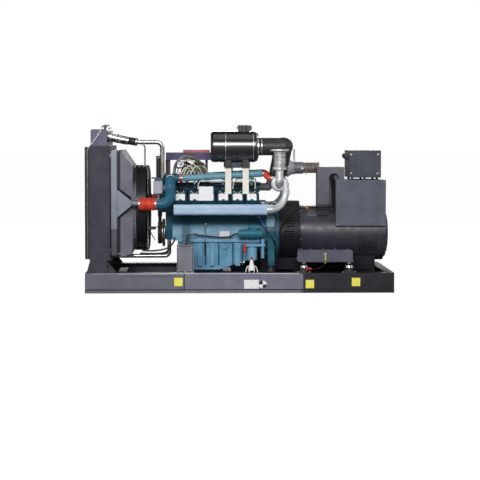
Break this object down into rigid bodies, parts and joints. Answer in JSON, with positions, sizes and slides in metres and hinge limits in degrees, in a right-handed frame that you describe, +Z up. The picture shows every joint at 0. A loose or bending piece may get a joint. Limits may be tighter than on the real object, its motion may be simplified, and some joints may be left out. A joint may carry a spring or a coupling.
{
  "type": "gas engine generator set",
  "caption": "Skid-mounted V-type gas engine generating set: belt-driven fan radiator, turbocharged engine, air filters, alternator and terminal boxes on one steel base.",
  "frame": {"origin": "centre of the base's underside, on the floor", "axes": "+X along the base from the radiator to the alternator, +Z up, the near side with the junction box is -Y"},
  "size_m": [3.26, 1.3, 1.769],
  "materials": {
    "base_paint": "satin",
    "radiator_paint": "satin",
    "tank_paint": "satin",
    "shroud_paint": "satin",
    "core_fins": "satin",
    "guard_wire": "gloss",
    "cap_brass": "satin",
    "bright_pipe": "polished",
    "cooler_bar": "satin",
    "fan_plastic": "matte",
    "shaft_steel": "satin",
    "pulley_iron": "satin",
    "belt_rubber": "matte",
    "engine_teal": "gloss",
    "engine_blue": "gloss",
    "jacket_blue": "gloss",
    "pan_paint": "gloss",
    "elbow_blue": "gloss",
    "red_hose": "satin",
    "duct_rubber": "satin",
    "exhaust_steel": "satin",
    "gas_steel": "satin",
    "filter_black": "gloss",
    "strap_cream": "satin",
    "trough_purple": "satin",
    "generator_paint": "satin",
    "mount_rubber": "matte",
    "box_paint": "satin",
    "cabinet_paint": "satin",
    "cable_sheath": "satin",
    "white_plate": "satin",
    "marker_yellow": "satin",
    "marker_red": "satin",
    "bolt_steel": "satin"
  },
  "bodies": {
    "plant": {"side_rail_near": "base_paint", "side_rail_far": "base_paint", "cross_members": "base_paint", "radiator_feet": "radiator_paint", "radiator_frame": "radiator_paint", "radiator_core": "core_fins", "front_guard": "guard_wire", "header_tank": "tank_paint", "filler_cap": "cap_brass", "overflow_tube": "bright_pipe", "charge_cooler": "core_fins", "cooler_tanks": "cooler_bar", "fan_shroud": "shroud_paint", "fan_guard": "guard_wire", "fan_belts": "belt_rubber", "timing_cover": "engine_teal", "crankcase": "engine_blue", "oil_pan": "pan_paint", "cylinder_heads": "engine_teal", "rocker_covers": "engine_teal", "exhaust_manifolds": "jacket_blue", "exhaust_risers": "jacket_blue", "turbochargers": "exhaust_steel", "exhaust_stacks": "exhaust_steel", "intake_manifold": "trough_purple", "intake_elbows": "elbow_blue", "charge_hoses": "red_hose", "charge_pipes": "elbow_blue", "air_filters": "filter_black", "filter_brackets": "strap_cream", "air_ducts": "duct_rubber", "gas_train": "gas_steel", "wiring_trough": "trough_purple", "thermostat_housing": "engine_teal", "upper_coolant_pipe": "bright_pipe", "upper_hose": "duct_rubber", "lower_coolant_pipe": "bright_pipe", "flywheel_housing": "engine_blue", "engine_mounts": "engine_teal", "starter_motor": "engine_teal", "oil_filters": "jacket_blue", "alternator_adaptor": "generator_paint", "alternator_body": "generator_paint", "alternator_feet": "generator_paint", "rubber_mounts": "mount_rubber", "alternator_cradle": "base_paint", "terminal_box": "box_paint", "breaker_box": "box_paint", "cable_cabinet": "cabinet_paint", "junction_box": "box_paint", "loom_cable": "cable_sheath", "power_cable": "cable_sheath"},
    "fan": {"fan": "fan_plastic", "fan_shaft": "shaft_steel"},
    "crankshaft": {"crank_pulley": "pulley_iron"}
  },
  "joints": [
    {"name": "fan_spin", "type": "hinge", "parent": "plant", "child": "fan", "pos_m": [-1.08, 0, 0.871], "axis": [1, 0, 0], "continuous": true},
    {"name": "crank_spin", "type": "hinge", "parent": "plant", "child": "crankshaft", "pos_m": [-0.8, 0, 0.596], "axis": [1, 0, 0], "continuous": true}
  ],
  "couplings": [
    {"joint": "fan_spin", "follows": "crank_spin", "ratio": 1.2174}
  ]
}
